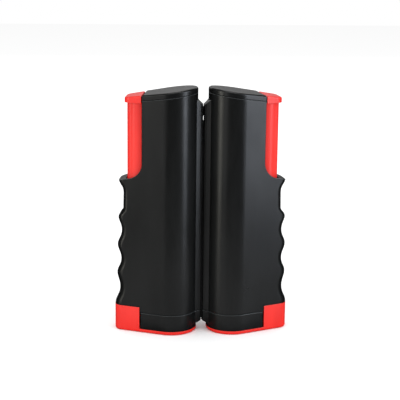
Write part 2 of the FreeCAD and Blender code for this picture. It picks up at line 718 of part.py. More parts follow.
POST_NODES = [
    ("front_shell", front_shell), ("rear_shell", rear_shell), ("top_cap", top_cap),
    ("base_block", base_block), ("upper_pad", upper_pad), ("shell_screws", shell_screws),
    ("base_screws", base_screws), ("push_bar", push_bar), ("clamp_foot", clamp_foot),
    ("foot_screws", foot_screws), ("lower_pad", lower_pad), ("clamp_spring", clamp_spring),
]
REEL_NODES = [
    ("reel_spindle", reel_spindle), ("reel_bearing_plate", reel_bearing_plate),
    ("torsion_spring", torsion_spring), ("reel_tube", reel_tube),
    ("reel_bottom_plug", reel_bottom_plug), ("reel_top_plug", reel_top_plug),
    ("net_roll", net_roll), ("tape_roll", tape_roll),
]
NET_NODES = [("net_end_rod", net_end_rod), ("net_web", net_web), ("tape_web", tape_web)]

os.makedirs("parts", exist_ok=True)
for side in ("left", "right"):
    for name, make in POST_NODES:
        write(side + "_" + name, place(make(side), side))
for name, make in REEL_NODES:
    write(name, place(make("left"), "left"))
for name, make in NET_NODES:
    write(name, make())
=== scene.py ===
import json
import math
import bmesh
import bpy
import numpy as np
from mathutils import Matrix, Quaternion, Vector


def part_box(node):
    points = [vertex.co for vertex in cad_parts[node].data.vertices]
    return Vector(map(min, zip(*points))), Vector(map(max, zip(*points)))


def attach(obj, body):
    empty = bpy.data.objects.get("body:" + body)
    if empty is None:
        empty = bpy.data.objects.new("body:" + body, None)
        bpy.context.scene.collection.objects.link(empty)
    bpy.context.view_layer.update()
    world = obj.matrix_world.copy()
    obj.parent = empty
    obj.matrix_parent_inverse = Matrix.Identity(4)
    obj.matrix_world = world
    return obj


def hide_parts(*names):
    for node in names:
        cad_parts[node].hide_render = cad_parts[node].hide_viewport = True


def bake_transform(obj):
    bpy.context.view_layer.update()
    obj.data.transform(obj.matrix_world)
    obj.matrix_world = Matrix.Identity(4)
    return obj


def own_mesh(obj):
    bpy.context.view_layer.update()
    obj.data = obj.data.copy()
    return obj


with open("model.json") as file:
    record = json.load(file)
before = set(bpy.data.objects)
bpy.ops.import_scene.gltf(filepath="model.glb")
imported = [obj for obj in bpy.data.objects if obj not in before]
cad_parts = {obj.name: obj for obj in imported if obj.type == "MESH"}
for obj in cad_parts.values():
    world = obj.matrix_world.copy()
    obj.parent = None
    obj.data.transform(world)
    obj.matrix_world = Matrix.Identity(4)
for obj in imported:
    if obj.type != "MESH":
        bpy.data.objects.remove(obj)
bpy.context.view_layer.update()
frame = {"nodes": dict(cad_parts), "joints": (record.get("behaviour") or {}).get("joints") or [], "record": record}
MM = 0.001

# ---- places worked out from the frame ----
JOINTS = {joint["name"]: joint for joint in frame["joints"]}
REEL_AXIS = Vector(JOINTS["reel_spin"]["pos_m"])      # left barrel's axis
ROD_AXIS = Vector(JOINTS["post_swivel"]["pos_m"])     # end rod in the right nose
PULL = JOINTS["net_pull"]["range_m"][1]
NET_LOW, NET_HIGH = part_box("net_web")[0][2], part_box("net_web")[1][2]
TAPE_LOW, TAPE_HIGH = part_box("tape_web")[0][2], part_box("tape_web")[1][2]
WEB_START, WEB_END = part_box("net_web")[0][0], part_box("net_web")[1][0]
ROLL_R = REEL_AXIS.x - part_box("net_roll")[0][0]
TUBE_R = REEL_AXIS.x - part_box("reel_tube")[0][0]

# ---- the net ----
CELL = 12.0 * MM            # square mesh
CORD_R = 0.42 * MM
KNOT_R = 0.75 * MM
LAYER = 0.372 * MM          # one turn of net on the roll
CLOTH_T = 0.2 * MM
ROLL_GAP = 0.05 * MM        # first turn to the tube
TAPE_OUT = 0.45 * MM        # middle of the folded tape to its outer face
TAPE_IN = 0.2 * MM          # middle of the folded tape to its inner face
HEM_HALF = 0.42 * MM
HEM_TALL = 5.0 * MM
STITCH_PITCH = 4.0 * MM
STITCH_LENGTH = 2.6 * MM
STITCH_R = 0.16 * MM
STITCH_LIFT = 2.0 * MM      # from the tape's lower edge to the stitches
FOLD_STEPS = 8              # steps round the tape's fold
ROLL_STEPS = 44             # steps in one turn of the roll
# The roll's two edges are uneven: the depth of their waves, and the waves in one turn.
NET_WAVE, TAPE_WAVE = 0.5 * MM, 0.3 * MM
LOW_WAVES, HIGH_WAVES = 0.7, 1.3
# The net pays out between these two places, both inside the left nose.
PAY_START = WEB_START + 0.4 * MM
PAY_END = -1.4 * MM
DRAWN_END = PAY_END + PULL  # where the cloth meets the vinyl strip at full pull
HALVINGS = 60               # of the search that lets the drawn net back
NET_SHORT = 0.2 * MM        # from the mesh to the vinyl strip
BAND_INSET = 0.1 * MM       # from the web's start to the tape and the hem
BAND_LAP = 0.3 * MM         # tape and hem past the place where the strip starts
BAND_STEPS = 80

# ---- the vinyl strip at the net's free end ----
STRIP_HALF = 0.5 * MM
STRIP_THIN = 0.12 * MM      # its thinned edge at the rod
STRIP_LAP = 0.25 * MM       # its thinner edge at the net
STRIP_BEND = (-0.5 * MM, 0.7 * MM)  # the mesh has extra cuts between these places, where the real strip bends as the post swivels
BEND_STEPS = 6
STRIP_STOPS = (
    PAY_END, PAY_END + STRIP_LAP,
    *(STRIP_BEND[0] + (STRIP_BEND[1] - STRIP_BEND[0]) * k / BEND_STEPS for k in range(BEND_STEPS + 1)),
    WEB_END)

# ---- dark strips on the left nose: painted shade, a dark sheet that closes the slit between the two noses ----
SHADE_STRIP_FRONT, SHADE_STRIP_BACK = -2.9 * MM, -1.7 * MM
SHADE_STRIP_FACE = 0.1 * MM
SHADE_STRIP_ROOT_FRONT, SHADE_STRIP_ROOT_BACK = -0.37 * MM, -0.2 * MM  # its side on the slanting nose
SHADE_STRIP_HEIGHTS = ((155.6 * MM, 173.2 * MM), (176.8 * MM, 184.5 * MM))  # the slit stays open between them

# ---- springs and pads ----
CLAMP_COIL_R = 3.4 * MM
CLAMP_WIRE = 0.6 * MM       # radius of the wire
CLAMP_TURNS = 20
CLAMP_CLOSED = 2            # closed turns at each end
DRIVE_COIL_R = 5.0 * MM
DRIVE_WIRE = 0.5 * MM       # radius of the wire
DRIVE_TURNS = 48
DRIVE_CLOSED = 3            # closed turns at each end
CLOSED_PITCH = 2.04         # a closed turn's rise, in radii of the wire
COIL_STEPS = 22             # steps in one turn of a spring
WIRE_SIDES = 8
GROOVE_PITCH = 3.0 * MM
GROOVE_WIDTH = 1.0 * MM
GROOVE_DEPTH = 0.6 * MM


# ---- small tools ----
def linear(hex_colour):
    """sRGB hex to linear RGBA."""
    parts = [int(hex_colour[i:i + 2], 16) / 255 for i in (1, 3, 5)]
    return tuple(c / 12.92 if c <= 0.04045 else ((c + 0.055) / 1.055) ** 2.4 for c in parts) + (1.0,)


def add(tree, kind, inputs=None, **settings):
    """Add one node; inputs maps a socket's name or number to a value or to another node's output."""
    node = tree.nodes.new(kind)
    for name, value in settings.items():
        setattr(node, name, value)
    for name, value in (inputs or {}).items():
        if isinstance(value, bpy.types.NodeSocket):
            tree.links.new(value, node.inputs[name])
        else:
            node.inputs[name].default_value = value
    return node


def new_material(name):
    """An empty node material and its tree."""
    material = bpy.data.materials.new(name)
    material.use_nodes = True
    material.node_tree.nodes.clear()
    return material, material.node_tree


def finish_material(tree, shader):
    """Lead the shader to the material's surface."""
    add(tree, "ShaderNodeOutputMaterial", {"Surface": shader.outputs["BSDF"]})


def ramp_stops(node, stops):
    """Set a colour ramp's stops, given as (position, hex colour)."""
    ramp = node.color_ramp
    while len(ramp.elements) < len(stops):
        ramp.elements.new(0.5)
    for element, (position, colour) in zip(ramp.elements, stops):
        element.position = position
        element.color = linear(colour)


def finish_piece(name, mesh, material, smooth):
    """Put a mesh in the scene as one piece with one material."""
    mesh.materials.clear()
    mesh.materials.append(material)
    mesh.polygons.foreach_set("use_smooth", [smooth] * len(mesh.polygons))
    piece = bpy.data.objects.new(name, mesh)
    bpy.context.scene.collection.objects.link(piece)
    return piece


def mesh_piece(name, verts, faces, material, smooth=True):
    """A new piece at the origin, with its faces turned outwards."""
    mesh = bpy.data.meshes.new(name)
    mesh.from_pydata(verts, [], faces)
    shape = bmesh.new()
    shape.from_mesh(mesh)
    bmesh.ops.recalc_face_normals(shape, faces=shape.faces)
    shape.to_mesh(mesh)
    shape.free()
    return finish_piece(name, mesh, material, smooth)


def rings(count, rows):
    """Faces of a closed tube: rows of count points each, with a cap at both ends."""
    last = (rows - 1) * count
    faces = [tuple(range(count)), tuple(range(last, last + count))]
    for row in range(0, last, count):
        for k in range(count):
            a, b = row + k, row + (k + 1) % count
            faces.append((a, b, b + count, a + count))
    return faces


def grow(name, sizes, build, material, smooth=True):
    """Run the node tree that build(tree, inputs) makes and keep its result as a plain mesh."""
    tree = bpy.data.node_groups.new(name, "GeometryNodeTree")
    tree.interface.new_socket(name="Geometry", in_out="OUTPUT", socket_type="NodeSocketGeometry")
    values = {}
    for label, value in sizes.items():
        kind = "NodeSocketInt" if isinstance(value, int) else "NodeSocketFloat"
        values[tree.interface.new_socket(name=label, in_out="INPUT", socket_type=kind).identifier] = value
    shape = build(tree, add(tree, "NodeGroupInput").outputs)
    solid = add(tree, "GeometryNodeRealizeInstances", {"Geometry": shape})
    painted = add(tree, "GeometryNodeSetMaterial", {"Geometry": solid.outputs[0], "Material": material})
    add(tree, "NodeGroupOutput", {0: painted.outputs[0]})
    carrier = bpy.data.objects.new(name + "_carrier", bpy.data.meshes.new(name))
    bpy.context.scene.collection.objects.link(carrier)
    modifier = carrier.modifiers.new("grow", "NODES")
    modifier.node_group = tree
    for identifier, value in values.items():
        modifier[identifier] = value
    graph = bpy.context.evaluated_depsgraph_get()
    mesh = bpy.data.meshes.new_from_object(carrier.evaluated_get(graph))
    bpy.data.objects.remove(carrier)
    return finish_piece(name, mesh, material, smooth)


# ---- materials ----
EDGE_MM = 0.45              # radius of mould-rounded edges
# Hollows get painted shade: they reflect less where walls stand within this reach.
HOLLOW_SHADE_REACH = 30.0 * MM      # walls nearer than this make a hollow
FLOW_MM = 13.333            # flow marks across the draw
SMUDGE_MM = 29.412          # patches left by hands
SCRATCH_MM = 0.6667         # between hair scratches
DRAW_LINE_MM = 1.1111       # between drawing lines on steel, drawn coarser so that they show
BLOOM_MM = 11.111           # grey patches on rubber
RUBBER_GRAIN_MM = 0.7143    # drawn coarser so that it shows


def pattern_scale(size_mm):
    """The noise scale that gives a pattern of this size."""
    return 1.0 / (size_mm * MM)


def rounded_edges(tree, radius_mm):
    """Normals of mould-rounded edges, and a mask that is 1 where an edge turns upwards; the mask places a painted
    highlight.
    """
    edge = add(tree, "ShaderNodeBevel", {"Radius": radius_mm * MM}, samples=6)
    flat = add(tree, "ShaderNodeNewGeometry")
    turn = add(tree, "ShaderNodeVectorMath", {
        0: edge.outputs["Normal"], 1: flat.outputs["Normal"]}, operation="DOT_PRODUCT")
    rim = add(tree, "ShaderNodeMapRange", {
        "Value": turn.outputs["Value"], "From Min": 0.998, "From Max": 0.92})
    split = add(tree, "ShaderNodeSeparateXYZ", {"Vector": edge.outputs["Normal"]})
    upward = add(tree, "ShaderNodeMapRange", {
        "Value": split.outputs["Z"], "From Min": 0.1, "From Max": 0.5})
    mask = add(tree, "ShaderNodeMath", {
        0: rim.outputs["Result"], 1: upward.outputs["Result"]}, operation="MULTIPLY")
    return edge.outputs["Normal"], mask.outputs[0]


def moulded_abs(name, dark, light, edge, rough_low, rough_high, grain_mm, grain_depth):
    """ABS from a spark-eroded mould: satin, with a fine even grain, faint flow marks along the
    draw and hair scratches from handling; upper edges get a painted highlight (a lighter colour where light
    catches them) and hollows get painted shade (less reflection where walls close in).
    The real grain is about 0.1 mm and is drawn coarser so that it shows."""
    material, tree = new_material(name)
    place = add(tree, "ShaderNodeTexCoord").outputs["Object"]
    flow = add(tree, "ShaderNodeMapping", {"Vector": place, "Scale": (1.0, 1.0, 0.2)})
    cloud = add(tree, "ShaderNodeTexNoise", {
        "Vector": flow.outputs["Vector"], "Scale": pattern_scale(FLOW_MM), "Detail": 4.0})
    tone = add(tree, "ShaderNodeValToRGB", {"Fac": cloud.outputs["Fac"]})
    ramp_stops(tone, [(0.3, dark), (0.7, light)])
    normal, rim = rounded_edges(tree, EDGE_MM)
    # Painted highlight: the edge colour goes on upward-facing rounded edges, lighter where the light catches them.
    painted_edge_highlight = add(tree, "ShaderNodeMix", {0: rim, 6: tone.outputs["Color"], 7: linear(edge)}, data_type="RGBA")
    smudge = add(tree, "ShaderNodeTexNoise", {
        "Vector": place, "Scale": pattern_scale(SMUDGE_MM), "Detail": 5.0, "Roughness": 0.6})
    gloss = add(tree, "ShaderNodeMapRange", {
        "Value": smudge.outputs["Fac"], "From Min": 0.3, "From Max": 0.7,
        "To Min": rough_low, "To Max": rough_high})
    # Painted shade: less reflection where nearby walls close in, so the hollows darken.
    open_air = add(tree, "ShaderNodeAmbientOcclusion", {"Distance": HOLLOW_SHADE_REACH}, samples=6)
    shine = add(tree, "ShaderNodeMapRange", {
        "Value": open_air.outputs["AO"], "From Min": 0.25, "From Max": 0.6, "To Min": 0.12, "To Max": 0.5})
    grain = add(tree, "ShaderNodeTexNoise", {
        "Vector": place, "Scale": pattern_scale(grain_mm), "Detail": 2.0})
    drawn = add(tree, "ShaderNodeMapping", {
        "Vector": place, "Rotation": (0.0, 0.12, 0.0), "Scale": (1.0, 1.0, 0.03)})
    scratch = add(tree, "ShaderNodeTexNoise", {
        "Vector": drawn.outputs["Vector"], "Scale": pattern_scale(SCRATCH_MM), "Detail": 1.0})
    hair = add(tree, "ShaderNodeMapRange", {
        "Value": scratch.outputs["Fac"], "From Min": 0.72, "From Max": 0.8, "To Max": 0.5})
    height = add(tree, "ShaderNodeMath", {
        0: grain.outputs["Fac"], 1: hair.outputs["Result"]}, operation="SUBTRACT")
    bump = add(tree, "ShaderNodeBump", {
        "Height": height.outputs[0], "Strength": 0.35, "Distance": grain_depth * MM, "Normal": normal})
    shader = add(tree, "ShaderNodeBsdfPrincipled", {
        "Base Color": painted_edge_highlight.outputs[2], "Roughness": gloss.outputs["Result"],
        "IOR": 1.53, "Specular IOR Level": shine.outputs["Result"], "Normal": bump.outputs["Normal"]})
    finish_material(tree, shader)
    return material


def plated_steel(name, dark, light, rough, brush):
    """Zinc-plated or oiled steel: bright metal with fine drawing lines."""
    material, tree = new_material(name)
    place = add(tree, "ShaderNodeTexCoord").outputs["Object"]
    lines = add(tree, "ShaderNodeMapping", {"Vector": place, "Scale": brush})
    noise = add(tree, "ShaderNodeTexNoise", {
        "Vector": lines.outputs["Vector"], "Scale": pattern_scale(DRAW_LINE_MM), "Detail": 3.0})
    tone = add(tree, "ShaderNodeValToRGB", {"Fac": noise.outputs["Fac"]})
    ramp_stops(tone, [(0.3, dark), (0.7, light)])
    gloss = add(tree, "ShaderNodeMapRange", {
        "Value": noise.outputs["Fac"], "From Min": 0.25, "From Max": 0.75,
        "To Min": rough - 0.08, "To Max": rough + 0.08})
    bump = add(tree, "ShaderNodeBump", {
        "Height": noise.outputs["Fac"], "Strength": 0.2, "Distance": 0.03 * MM})
    shader = add(tree, "ShaderNodeBsdfPrincipled", {
        "Base Color": tone.outputs["Color"], "Metallic": 1.0, "Roughness": gloss.outputs["Result"],
        "Normal": bump.outputs["Normal"]})
    finish_material(tree, shader)
    return material


def moulded_rubber(name):
    """Matt jaw rubber: dull, almost black, with a bloom of grey and a coarse grain."""
    material, tree = new_material(name)
    place = add(tree, "ShaderNodeTexCoord").outputs["Object"]
    bloom = add(tree, "ShaderNodeTexNoise", {
        "Vector": place, "Scale": pattern_scale(BLOOM_MM), "Detail": 6.0})
    tone = add(tree, "ShaderNodeValToRGB", {"Fac": bloom.outputs["Fac"]})
    ramp_stops(tone, [(0.35, "#232322"), (0.75, "#33322F")])
    grain = add(tree, "ShaderNodeTexNoise", {
        "Vector": place, "Scale": pattern_scale(RUBBER_GRAIN_MM), "Detail": 2.0})
    bump = add(tree, "ShaderNodeBump", {
        "Height": grain.outputs["Fac"], "Strength": 0.5, "Distance": 0.1 * MM})
    shader = add(tree, "ShaderNodeBsdfPrincipled", {
        "Base Color": tone.outputs["Color"], "Roughness": 0.82, "IOR": 1.52,
        "Normal": bump.outputs["Normal"]})
    finish_material(tree, shader)
    return material


def woven_tape(name, warp, weft, thread_mm, sheen):
    """Plain-woven polyester: threads over and under, dull with a little sheen. The twisted cord and
    the dark strips of painted shade in the nose slit take the same pattern in dark tones, which gives them a matt
    fibrous face.
    The real threads are about 0.2 mm apart and are drawn coarser so that they show."""
    material, tree = new_material(name)
    place = add(tree, "ShaderNodeTexCoord").outputs["Object"]
    split = add(tree, "ShaderNodeSeparateXYZ", {"Vector": place})
    turns = math.pi / (thread_mm * MM)
    up = add(tree, "ShaderNodeMath", {0: split.outputs["Z"], 1: turns}, operation="MULTIPLY")
    along = add(tree, "ShaderNodeMath", {0: split.outputs["X"], 1: turns}, operation="MULTIPLY")
    wave_up = add(tree, "ShaderNodeMath", {0: up.outputs[0]}, operation="SINE")
    wave_along = add(tree, "ShaderNodeMath", {0: along.outputs[0]}, operation="SINE")
    cross = add(tree, "ShaderNodeMath", {
        0: wave_up.outputs[0], 1: wave_along.outputs[0]}, operation="MULTIPLY")
    share = add(tree, "ShaderNodeMapRange", {"Value": cross.outputs[0], "From Min": -1.0, "From Max": 1.0})
    tone = add(tree, "ShaderNodeValToRGB", {"Fac": share.outputs["Result"]})
    ramp_stops(tone, [(0.35, warp), (0.65, weft)])
    bump = add(tree, "ShaderNodeBump", {"Height": cross.outputs[0], "Strength": 0.5, "Distance": 0.1 * MM})
    shader = add(tree, "ShaderNodeBsdfPrincipled", {
        "Base Color": tone.outputs["Color"], "Roughness": 0.8, "Sheen Weight": sheen,
        "Sheen Roughness": 0.5, "Normal": bump.outputs["Normal"]})
    finish_material(tree, shader)
    return material


# The fourth colour of each is a painted highlight on upward-facing rounded edges.
BLACK_ABS = moulded_abs("moulded_black_abs", "#0C0D0D", "#151616", "#5E6365", 0.27, 0.34, 0.9, 0.06)
RED_ABS = moulded_abs("moulded_red_abs", "#D9211A", "#E52B22", "#EE4A40", 0.27, 0.35, 1.1, 0.04)
ACETAL = moulded_abs("moulded_natural_acetal", "#C9C8C0", "#D8D7D0", "#E2E1DB", 0.36, 0.46, 0.8, 0.03)
VINYL = moulded_abs("pressed_black_vinyl", "#101011", "#181819", "#242425", 0.42, 0.52, 0.7, 0.06)
RUBBER = moulded_rubber("moulded_jaw_rubber")
SCREW_STEEL = plated_steel("zinc_plated_steel", "#8F9091", "#B9BABC", 0.34, (1.0, 1.0, 1.0))
SPRING_STEEL = plated_steel("oiled_spring_wire", "#6E6F70", "#949698", 0.30, (1.0, 1.0, 0.1))
NET_CORD = woven_tape("twisted_net_cord", "#15181D", "#242A33", 0.35, 0.15)
# Painted shade: the dark strips in the slit between the noses, where there is only shade.
SHADE_STRIP_CLOTH = woven_tape("painted_shade_cloth", "#0B0B0C", "#131314", 0.3, 0.1)
TAPE = woven_tape("woven_white_tape", "#D9D9D4", "#F2F2EE", 0.45, 0.25)

SLOT_MATERIAL = {
    "casing_black": BLACK_ABS, "clamp_red": RED_ABS, "pad_rubber": RUBBER, "screw_steel": SCREW_STEEL,
    "spring_steel": SPRING_STEEL, "reel_plastic": ACETAL, "net_mesh": NET_CORD, "net_tape": TAPE,
}


def paint_nodes():
    """Give every CAD node the material of its slot."""
    for part in frame["record"]["subparts"]:
        mesh = frame["nodes"][part["node"]].data
        mesh.materials.clear()
        mesh.materials.append(SLOT_MATERIAL[part["material_slot"]])


# ---- springs ----
def coil(name, centre, radius, wire, heights, turns, closed):
    """Round wire wound upwards, with closed turns at both ends and flat wire ends."""
    low, high = heights[0] + wire, heights[1] - wire
    closed_rise = CLOSED_PITCH * wire * closed
    stops = (0, closed, turns - closed, turns)
    levels = (low, low + closed_rise, high - closed_rise, high)
    verts = []
    for i in range(turns * COIL_STEPS + 1):
        turn = i / COIL_STEPS
        z = float(np.interp(turn, stops, levels))
        angle = 2 * math.pi * turn
        for side in range(WIRE_SIDES):
            lean = 2 * math.pi * side / WIRE_SIDES
            out = radius + wire * math.cos(lean)
            verts.append((
                centre[0] + out * math.cos(angle), centre[1] + out * math.sin(angle),
                z + wire * math.sin(lean)))
    return mesh_piece(name, verts, rings(WIRE_SIDES, turns * COIL_STEPS + 1), SPRING_STEEL)


def make_springs():
    """Clamp springs on the two posts, and the spring that drives the reel."""
    for side in ("left", "right"):
        node = side + "_clamp_spring"
        low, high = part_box(node)
        centre = ((low[0] + high[0]) / 2, (low[1] + high[1]) / 2)
        spring = coil(
            side + "_clamp_coil", centre, CLAMP_COIL_R, CLAMP_WIRE, (low[2], high[2]), CLAMP_TURNS,
            CLAMP_CLOSED)
        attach(spring, side + "_post")
        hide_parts(node)
        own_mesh(spring)
    low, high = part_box("torsion_spring")
    drive = coil(
        "reel_drive_coil", (REEL_AXIS.x, REEL_AXIS.y), DRIVE_COIL_R, DRIVE_WIRE,
        (low[2], high[2]), DRIVE_TURNS, DRIVE_CLOSED)
    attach(drive, "left_post")
    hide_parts("torsion_spring")


# ---- jaw pads ----
def make_pad(node, body, face):
    """Rubber pad with cross grooves cut into its gripping face, which lies at the height face."""
    low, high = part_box(node)

    def bars(tree, size):
        line = add(tree, "GeometryNodeMeshLine", {
            "Count": size["Count"], "Start Location": (low[0], (low[1] + high[1]) / 2, face),
            "Offset": (GROOVE_PITCH, 0.0, 0.0)})
        shape = add(tree, "ShaderNodeCombineXYZ", {
            0: size["Width"], 1: 2 * (high[1] - low[1]), 2: 2 * GROOVE_DEPTH})
        bar = add(tree, "GeometryNodeMeshCube", {"Size": shape.outputs[0]})
        return add(tree, "GeometryNodeInstanceOnPoints", {
            "Points": line.outputs[0], "Instance": bar.outputs[0]}).outputs[0]

    count = int((high[0] - low[0]) / GROOVE_PITCH) + 1
    cutter = grow(node + "_grooves", {"Count": count, "Width": GROOVE_WIDTH}, bars, RUBBER, False)
    mesh = frame["nodes"][node].data.copy()
    shape = bmesh.new()
    shape.from_mesh(mesh)
    bmesh.ops.remove_doubles(shape, verts=shape.verts, dist=0.001 * MM)
    bmesh.ops.dissolve_limit(shape, angle_limit=math.radians(1.0), verts=shape.verts, edges=shape.edges)
    shape.to_mesh(mesh)
    shape.free()
    pad = finish_piece(node + "_ribbed", mesh, RUBBER, False)
    cut = pad.modifiers.new("grooves", "BOOLEAN")
    cut.operation = "DIFFERENCE"
    cut.solver = "EXACT"
    cut.object = cutter
    graph = bpy.context.evaluated_depsgraph_get()
    pad.data = bpy.data.meshes.new_from_object(pad.evaluated_get(graph))
    pad.modifiers.clear()
    bpy.data.objects.remove(cutter)
    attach(pad, body)
    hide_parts(node)


def make_pads():
    """Two ribbed pads for each jaw: the upper one on the post, the lower one on the sliding foot."""
    for side in ("left", "right"):
        make_pad(side + "_upper_pad", side + "_post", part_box(side + "_upper_pad")[0][2])
        make_pad(side + "_lower_pad", side + "_clamp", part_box(side + "_lower_pad")[1][2])


# ---- the rolled net ----
def roll(name, heights, wave, material):
    """Cloth wound on the reel's tube, one layer after another, with slightly uneven edges.
    Returns the piece and the cloth's length."""
    inner, outer = TUBE_R + ROLL_GAP, ROLL_R - CLOTH_T
    steps = int((outer - inner) / LAYER * ROLL_STEPS)
    verts = []
    for i in range(steps + 1):
        angle = 2 * math.pi * i / ROLL_STEPS
        r = inner + (outer - inner) * i / steps
        low = heights[0] + wave * (1 + math.sin(LOW_WAVES * angle)) / 2
        high = heights[1] - wave * (1 + math.sin(HIGH_WAVES * angle)) / 2
        for reach, z in ((r, low), (r, high), (r + CLOTH_T, high), (r + CLOTH_T, low)):
            verts.append((REEL_AXIS.x + reach * math.cos(angle), REEL_AXIS.y + reach * math.sin(angle), z))
    length = math.pi * (outer ** 2 - inner ** 2) / LAYER
    return mesh_piece(name, verts, rings(4, steps + 1), material, False), length


# ---- the net between the posts ----
def let_back(piece):
    """Move a piece that is drawn at full pull to where its points lie when the net is wound in."""
    points = np.empty(len(piece.data.vertices) * 3)
    piece.data.vertices.foreach_get("co", points)
    points = points.reshape(-1, 3)
    low = np.full(len(points), WEB_START - CELL)
    high = np.full(len(points), WEB_END + CELL)
    for _ in range(HALVINGS):
        middle = (low + high) / 2
        t = np.clip((middle - PAY_START) / (PAY_END - PAY_START), 0, 1)
        beyond = middle + PULL * t * t * (3 - 2 * t) > points[:, 0]
        high[beyond] = middle[beyond]
        low[~beyond] = middle[~beyond]
    points[:, 0] = (low + high) / 2
    piece.data.vertices.foreach_set("co", points.ravel())
    piece.data.update()


def pay_out(piece, slot, *nodes):
    """Move a piece drawn at full pull to where it lies when the net is wound in, and hide the CAD nodes it stands
    for.
    """
    let_back(piece)
    if nodes:
        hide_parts(*nodes)
    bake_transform(piece)
    return piece


def net_cells(tree, size):
    """Upright and level cords with a knot at every crossing."""
    length = add(tree, "ShaderNodeMath", {0: size["Columns"], 1: size["Cell long"]}, operation="MULTIPLY")
    height = add(tree, "ShaderNodeMath", {0: size["Rows"], 1: size["Cell tall"]}, operation="MULTIPLY")
    columns = add(tree, "ShaderNodeMath", {0: size["Columns"], 1: 1.0}, operation="ADD")
    rows = add(tree, "ShaderNodeMath", {0: size["Rows"], 1: 1.0}, operation="ADD")
    grid = add(tree, "GeometryNodeMeshGrid", {
        "Size X": length.outputs[0], "Size Y": height.outputs[0],
        "Vertices X": columns.outputs[0], "Vertices Y": rows.outputs[0]}).outputs["Mesh"]
    cords = add(tree, "GeometryNodeMeshToCurve", {"Mesh": grid})
    section = add(tree, "GeometryNodeCurvePrimitiveCircle", {
        "Resolution": 5, "Radius": size["Cord radius"]})
    tubes = add(tree, "GeometryNodeCurveToMesh", {
        "Curve": cords.outputs[0], "Profile Curve": section.outputs[0], "Fill Caps": True})
    knot = add(tree, "GeometryNodeMeshIcoSphere", {"Radius": size["Knot radius"], "Subdivisions": 1})
    knots = add(tree, "GeometryNodeInstanceOnPoints", {"Points": grid, "Instance": knot.outputs["Mesh"]})
    both = add(tree, "GeometryNodeJoinGeometry", {0: tubes.outputs[0]})
    tree.links.new(knots.outputs[0], both.inputs[0])
    return add(tree, "GeometryNodeTransform", {
        "Geometry": both.outputs[0], "Rotation": (math.pi / 2, 0.0, 0.0)}).outputs[0]


def make_mesh_web():
    """The square-mesh net; its first column stays in the nose and its last is sewn to the strip."""
    start, end = WEB_START + KNOT_R, DRAWN_END - NET_SHORT
    low, high = NET_LOW + KNOT_R, NET_HIGH - KNOT_R
    columns, rows = round((end - start) / CELL), round((high - low) / CELL)
    net = grow("square_mesh_net", {
        "Columns": columns, "Rows": rows, "Cell long": (end - start) / columns,
        "Cell tall": (high - low) / rows, "Cord radius": CORD_R, "Knot radius": KNOT_R,
    }, net_cells, NET_CORD)
    middle = Vector(((start + end) / 2, ROD_AXIS.y, (low + high) / 2))
    for vertex in net.data.vertices:
        vertex.co += middle
    return pay_out(net, "net_mesh", "net_web")


def make_band(name, section, slot, material, *nodes):
    """A band along the net: a closed outline in (y, z), drawn from the nose to the end strip."""
    start, end = WEB_START + BAND_INSET, DRAWN_END + BAND_LAP
    verts = [
        (start + (end - start) * i / BAND_STEPS, y, z) for i in range(BAND_STEPS + 1) for y, z in section]
    band = mesh_piece(name, verts, rings(len(section), BAND_STEPS + 1), material, False)
    return pay_out(band, slot, *nodes)


def make_tape():
    """White tape folded over the net's top cord."""
    y, top = ROD_AXIS.y, TAPE_HIGH - TAPE_OUT
    bend = [math.pi * k / FOLD_STEPS for k in range(FOLD_STEPS + 1)]
    outside = [(y + TAPE_OUT * math.cos(a), top + TAPE_OUT * math.sin(a)) for a in bend]
    inside = [(y + TAPE_IN * math.cos(a), top + TAPE_IN * math.sin(a)) for a in reversed(bend)]
    section = (
        [(y + TAPE_OUT, TAPE_LOW)] + outside + [(y - TAPE_OUT, TAPE_LOW), (y - TAPE_IN, TAPE_LOW)]
        + inside + [(y + TAPE_IN, TAPE_LOW)])
    return make_band("folded_top_tape", section, "net_tape", TAPE, "tape_web")


def stitch_rows(tree, size):
    """One row of stitches on each side of the tape."""
    rows = add(tree, "GeometryNodeJoinGeometry")
    for side in (-1, 1):
        line = add(tree, "GeometryNodeMeshLine", {
            "Count": size["Count"],
            "Start Location": (
                WEB_START + STITCH_PITCH, ROD_AXIS.y + side * TAPE_OUT, TAPE_LOW + STITCH_LIFT),
            "Offset": (STITCH_PITCH, 0.0, 0.0)})
        tree.links.new(line.outputs[0], rows.inputs[0])
    thread = add(tree, "GeometryNodeMeshCylinder", {
        "Vertices": 6, "Radius": size["Thread radius"], "Depth": size["Length"]})
    return add(tree, "GeometryNodeInstanceOnPoints", {
        "Points": rows.outputs[0], "Instance": thread.outputs[0],
        "Rotation": (0.0, math.pi / 2, 0.0)}).outputs[0]


def make_seam():
    """The stitches along both sides of the folded tape."""
    count = int((DRAWN_END - WEB_START) / STITCH_PITCH) - 1
    seam = grow("tape_stitches", {
        "Count": count, "Thread radius": STITCH_R, "Length": STITCH_LENGTH}, stitch_rows, TAPE)
    return pay_out(seam, "net_tape")


def make_hem():
    """Flat dark hem along the net's lower edge."""
    y, low, high = ROD_AXIS.y, NET_LOW, NET_LOW + HEM_TALL
    section = [(y - HEM_HALF, low), (y + HEM_HALF, low), (y + HEM_HALF, high), (y - HEM_HALF, high)]
    return make_band("lower_hem", section, "net_mesh", NET_CORD)


def make_end_strip():
    """Vinyl strip welded round the end of the net and held at the end rod; its mesh is cut finer where the real
    strip bends as the post swivels.
    """
    y = ROD_AXIS.y
    last = len(STRIP_STOPS) - 1
    verts = []
    for i, x in enumerate(STRIP_STOPS):
        half = STRIP_HALF / 2 if i == 0 else STRIP_THIN if i == last else STRIP_HALF
        verts += [
            (x, y - half, NET_LOW), (x, y + half, NET_LOW),
            (x, y + half, TAPE_HIGH), (x, y - half, TAPE_HIGH)]
    strip = mesh_piece("net_end_strip", verts, rings(4, last + 1), VINYL, False)
    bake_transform(strip)
    return strip


